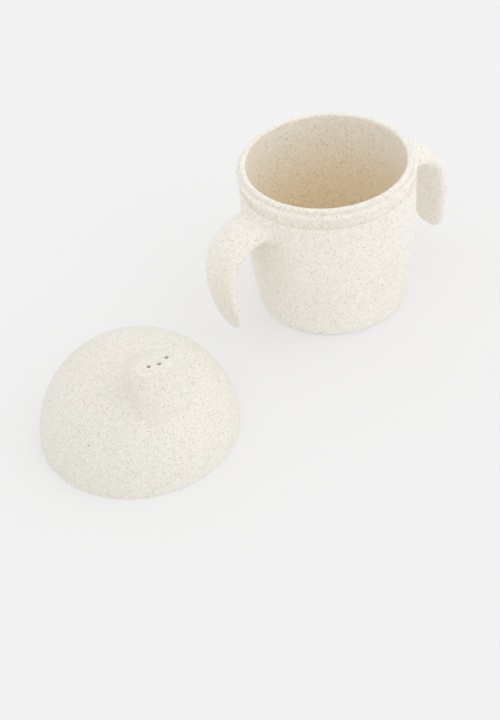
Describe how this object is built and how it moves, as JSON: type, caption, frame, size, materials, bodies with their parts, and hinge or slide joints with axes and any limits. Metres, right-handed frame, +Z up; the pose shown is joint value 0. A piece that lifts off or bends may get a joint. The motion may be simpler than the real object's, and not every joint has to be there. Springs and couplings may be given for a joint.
{
  "type": "sippy cup",
  "caption": "Open two-handled toddler drinking cup in one speckled moulding, with its domed press-fit spout lid standing on its rim beside it.",
  "frame": {"origin": "centre of the cup's foot on the surface it stands on", "axes": "+Z up along the cup's axis, X along the line through the two handles, -Y the side that the spout faces"},
  "size_m": [0.2383, 0.1085, 0.0769],
  "materials": {
    "cup_plastic": "matte cream straw-fibre composite with fine tan and brown flecks",
    "lid_plastic": "matte cream straw-fibre composite with fine tan flecks",
    "seal_silicone": "satin translucent silicone"
  },
  "bodies": {
    "cup": {"cup_body": "cup_plastic"},
    "ring": {"seal_ring": "seal_silicone"},
    "lid": {"lid_dome": "lid_plastic"}
  },
  "joints": [
    {"name": "lid_lift", "type": "slide", "parent": "cup", "child": "ring", "axis": [0, 0, 1], "range_m": [0, 0.12]},
    {"name": "lid_turn", "type": "hinge", "parent": "ring", "child": "lid", "pos_m": [-0.126, -0.0211, 0], "axis": [0, 0, 1], "continuous": true}
  ]
}
